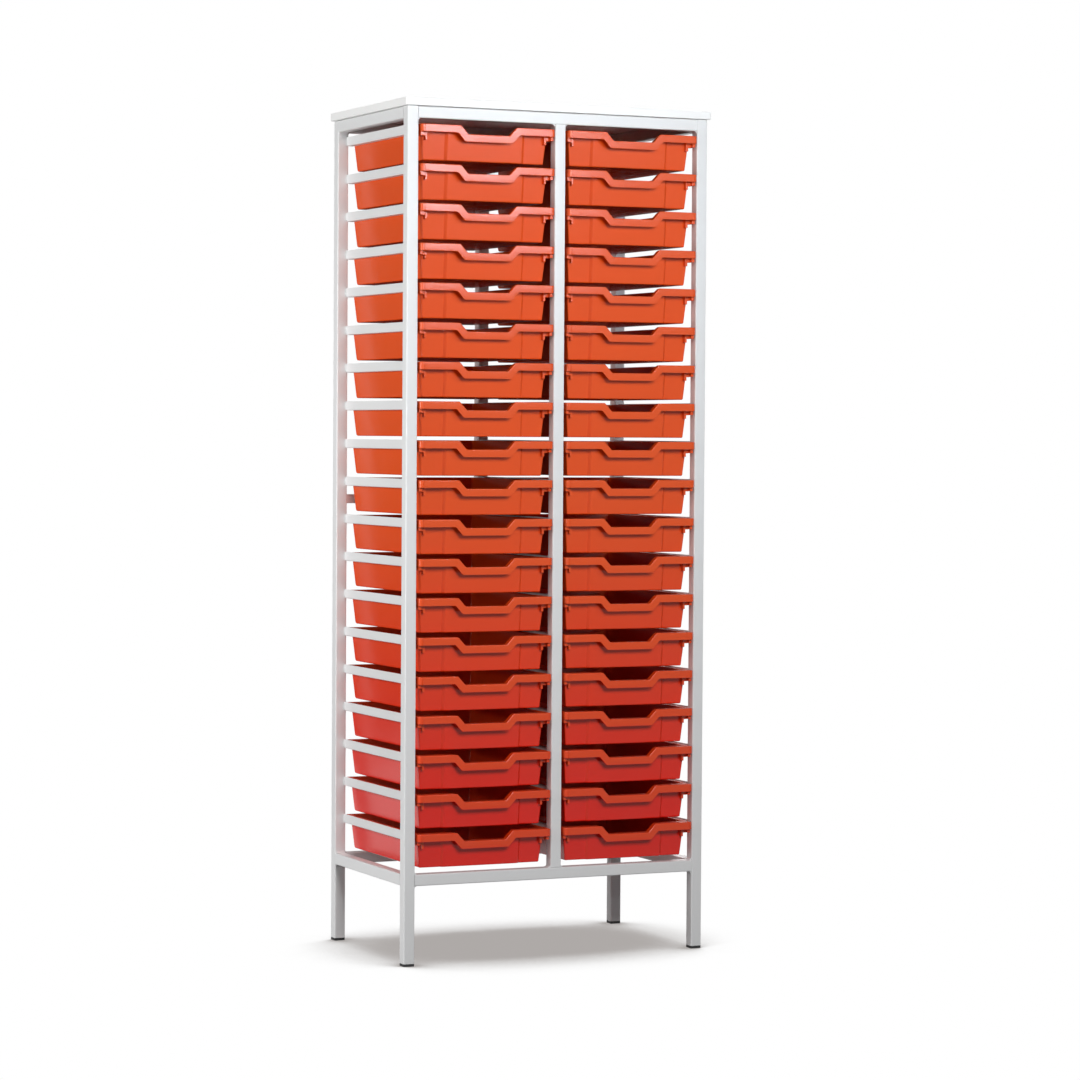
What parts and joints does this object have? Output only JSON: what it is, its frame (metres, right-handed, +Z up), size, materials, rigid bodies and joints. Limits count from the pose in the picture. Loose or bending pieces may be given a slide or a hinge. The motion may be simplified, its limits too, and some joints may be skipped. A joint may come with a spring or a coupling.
{
  "type": "classroom tray storage unit",
  "caption": "Tall free-standing classroom storage unit: welded square-tube steel frame with side-by-side columns of shallow pull-out trays on angle runners, under a pale board top.",
  "frame": {"origin": "on the floor, under the middle of the unit's footprint", "axes": "+Z up, -Y out of the tray fronts, +X to the right seen from the front"},
  "size_m": [0.726, 0.4485, 1.85],
  "materials": {
    "frame_paint": "light grey powder coat, satin",
    "tray_plastic": "orange-red moulded polypropylene, semi-gloss",
    "top_board": "white melamine-faced board with matching edging",
    "foot_plastic": "black moulded plastic insert"
  },
  "bodies": {
    "frame": {"front_left_post": "frame_paint", "front_middle_post": "frame_paint", "front_right_post": "frame_paint", "back_left_post": "frame_paint", "back_middle_post": "frame_paint", "back_right_post": "frame_paint", "front_bottom_rail": "frame_paint", "back_bottom_rail": "frame_paint", "left_bottom_rail": "frame_paint", "right_bottom_rail": "frame_paint", "front_top_rail": "frame_paint", "back_top_rail": "frame_paint", "left_top_rail": "frame_paint", "right_top_rail": "frame_paint", "back_left_brace": "frame_paint", "back_right_brace": "frame_paint", "top_panel": "top_board", "front_left_foot": "foot_plastic", "front_right_foot": "foot_plastic", "back_left_foot": "foot_plastic", "back_right_foot": "foot_plastic"},
    "left_tray_01": {"left_tray_01": "tray_plastic"},
    "left_tray_02": {"left_tray_02": "tray_plastic"},
    "left_tray_03": {"left_tray_03": "tray_plastic"},
    "left_tray_04": {"left_tray_04": "tray_plastic"},
    "left_tray_05": {"left_tray_05": "tray_plastic"},
    "left_tray_06": {"left_tray_06": "tray_plastic"},
    "left_tray_07": {"left_tray_07": "tray_plastic"},
    "left_tray_08": {"left_tray_08": "tray_plastic"},
    "left_tray_09": {"left_tray_09": "tray_plastic"},
    "left_tray_10": {"left_tray_10": "tray_plastic"},
    "left_tray_11": {"left_tray_11": "tray_plastic"},
    "left_tray_12": {"left_tray_12": "tray_plastic"},
    "left_tray_13": {"left_tray_13": "tray_plastic"},
    "left_tray_14": {"left_tray_14": "tray_plastic"},
    "left_tray_15": {"left_tray_15": "tray_plastic"},
    "left_tray_16": {"left_tray_16": "tray_plastic"},
    "left_tray_17": {"left_tray_17": "tray_plastic"},
    "left_tray_18": {"left_tray_18": "tray_plastic"},
    "left_tray_19": {"left_tray_19": "tray_plastic"},
    "right_tray_01": {"right_tray_01": "tray_plastic"},
    "right_tray_02": {"right_tray_02": "tray_plastic"},
    "right_tray_03": {"right_tray_03": "tray_plastic"},
    "right_tray_04": {"right_tray_04": "tray_plastic"},
    "right_tray_05": {"right_tray_05": "tray_plastic"},
    "right_tray_06": {"right_tray_06": "tray_plastic"},
    "right_tray_07": {"right_tray_07": "tray_plastic"},
    "right_tray_08": {"right_tray_08": "tray_plastic"},
    "right_tray_09": {"right_tray_09": "tray_plastic"},
    "right_tray_10": {"right_tray_10": "tray_plastic"},
    "right_tray_11": {"right_tray_11": "tray_plastic"},
    "right_tray_12": {"right_tray_12": "tray_plastic"},
    "right_tray_13": {"right_tray_13": "tray_plastic"},
    "right_tray_14": {"right_tray_14": "tray_plastic"},
    "right_tray_15": {"right_tray_15": "tray_plastic"},
    "right_tray_16": {"right_tray_16": "tray_plastic"},
    "right_tray_17": {"right_tray_17": "tray_plastic"},
    "right_tray_18": {"right_tray_18": "tray_plastic"},
    "right_tray_19": {"right_tray_19": "tray_plastic"}
  },
  "joints": [
    {"name": "left_tray_01_slide", "type": "slide", "parent": "frame", "child": "left_tray_01", "axis": [0, -1, 0], "range_m": [0, 0.45]},
    {"name": "left_tray_02_slide", "type": "slide", "parent": "frame", "child": "left_tray_02", "axis": [0, -1, 0], "range_m": [0, 0.45]},
    {"name": "left_tray_03_slide", "type": "slide", "parent": "frame", "child": "left_tray_03", "axis": [0, -1, 0], "range_m": [0, 0.45]},
    {"name": "left_tray_04_slide", "type": "slide", "parent": "frame", "child": "left_tray_04", "axis": [0, -1, 0], "range_m": [0, 0.45]},
    {"name": "left_tray_05_slide", "type": "slide", "parent": "frame", "child": "left_tray_05", "axis": [0, -1, 0], "range_m": [0, 0.45]},
    {"name": "left_tray_06_slide", "type": "slide", "parent": "frame", "child": "left_tray_06", "axis": [0, -1, 0], "range_m": [0, 0.45]},
    {"name": "left_tray_07_slide", "type": "slide", "parent": "frame", "child": "left_tray_07", "axis": [0, -1, 0], "range_m": [0, 0.45]},
    {"name": "left_tray_08_slide", "type": "slide", "parent": "frame", "child": "left_tray_08", "axis": [0, -1, 0], "range_m": [0, 0.45]},
    {"name": "left_tray_09_slide", "type": "slide", "parent": "frame", "child": "left_tray_09", "axis": [0, -1, 0], "range_m": [0, 0.45]},
    {"name": "left_tray_10_slide", "type": "slide", "parent": "frame", "child": "left_tray_10", "axis": [0, -1, 0], "range_m": [0, 0.45]},
    {"name": "left_tray_11_slide", "type": "slide", "parent": "frame", "child": "left_tray_11", "axis": [0, -1, 0], "range_m": [0, 0.45]},
    {"name": "left_tray_12_slide", "type": "slide", "parent": "frame", "child": "left_tray_12", "axis": [0, -1, 0], "range_m": [0, 0.45]},
    {"name": "left_tray_13_slide", "type": "slide", "parent": "frame", "child": "left_tray_13", "axis": [0, -1, 0], "range_m": [0, 0.45]},
    {"name": "left_tray_14_slide", "type": "slide", "parent": "frame", "child": "left_tray_14", "axis": [0, -1, 0], "range_m": [0, 0.45]},
    {"name": "left_tray_15_slide", "type": "slide", "parent": "frame", "child": "left_tray_15", "axis": [0, -1, 0], "range_m": [0, 0.45]},
    {"name": "left_tray_16_slide", "type": "slide", "parent": "frame", "child": "left_tray_16", "axis": [0, -1, 0], "range_m": [0, 0.45]},
    {"name": "left_tray_17_slide", "type": "slide", "parent": "frame", "child": "left_tray_17", "axis": [0, -1, 0], "range_m": [0, 0.45]},
    {"name": "left_tray_18_slide", "type": "slide", "parent": "frame", "child": "left_tray_18", "axis": [0, -1, 0], "range_m": [0, 0.45]},
    {"name": "left_tray_19_slide", "type": "slide", "parent": "frame", "child": "left_tray_19", "axis": [0, -1, 0], "range_m": [0, 0.45]},
    {"name": "right_tray_01_slide", "type": "slide", "parent": "frame", "child": "right_tray_01", "axis": [0, -1, 0], "range_m": [0, 0.45]},
    {"name": "right_tray_02_slide", "type": "slide", "parent": "frame", "child": "right_tray_02", "axis": [0, -1, 0], "range_m": [0, 0.45]},
    {"name": "right_tray_03_slide", "type": "slide", "parent": "frame", "child": "right_tray_03", "axis": [0, -1, 0], "range_m": [0, 0.45]},
    {"name": "right_tray_04_slide", "type": "slide", "parent": "frame", "child": "right_tray_04", "axis": [0, -1, 0], "range_m": [0, 0.45]},
    {"name": "right_tray_05_slide", "type": "slide", "parent": "frame", "child": "right_tray_05", "axis": [0, -1, 0], "range_m": [0, 0.45]},
    {"name": "right_tray_06_slide", "type": "slide", "parent": "frame", "child": "right_tray_06", "axis": [0, -1, 0], "range_m": [0, 0.45]},
    {"name": "right_tray_07_slide", "type": "slide", "parent": "frame", "child": "right_tray_07", "axis": [0, -1, 0], "range_m": [0, 0.45]},
    {"name": "right_tray_08_slide", "type": "slide", "parent": "frame", "child": "right_tray_08", "axis": [0, -1, 0], "range_m": [0, 0.45]},
    {"name": "right_tray_09_slide", "type": "slide", "parent": "frame", "child": "right_tray_09", "axis": [0, -1, 0], "range_m": [0, 0.45]},
    {"name": "right_tray_10_slide", "type": "slide", "parent": "frame", "child": "right_tray_10", "axis": [0, -1, 0], "range_m": [0, 0.45]},
    {"name": "right_tray_11_slide", "type": "slide", "parent": "frame", "child": "right_tray_11", "axis": [0, -1, 0], "range_m": [0, 0.45]},
    {"name": "right_tray_12_slide", "type": "slide", "parent": "frame", "child": "right_tray_12", "axis": [0, -1, 0], "range_m": [0, 0.45]},
    {"name": "right_tray_13_slide", "type": "slide", "parent": "frame", "child": "right_tray_13", "axis": [0, -1, 0], "range_m": [0, 0.45]},
    {"name": "right_tray_14_slide", "type": "slide", "parent": "frame", "child": "right_tray_14", "axis": [0, -1, 0], "range_m": [0, 0.45]},
    {"name": "right_tray_15_slide", "type": "slide", "parent": "frame", "child": "right_tray_15", "axis": [0, -1, 0], "range_m": [0, 0.45]},
    {"name": "right_tray_16_slide", "type": "slide", "parent": "frame", "child": "right_tray_16", "axis": [0, -1, 0], "range_m": [0, 0.45]},
    {"name": "right_tray_17_slide", "type": "slide", "parent": "frame", "child": "right_tray_17", "axis": [0, -1, 0], "range_m": [0, 0.45]},
    {"name": "right_tray_18_slide", "type": "slide", "parent": "frame", "child": "right_tray_18", "axis": [0, -1, 0], "range_m": [0, 0.45]},
    {"name": "right_tray_19_slide", "type": "slide", "parent": "frame", "child": "right_tray_19", "axis": [0, -1, 0], "range_m": [0, 0.45]}
  ]
}
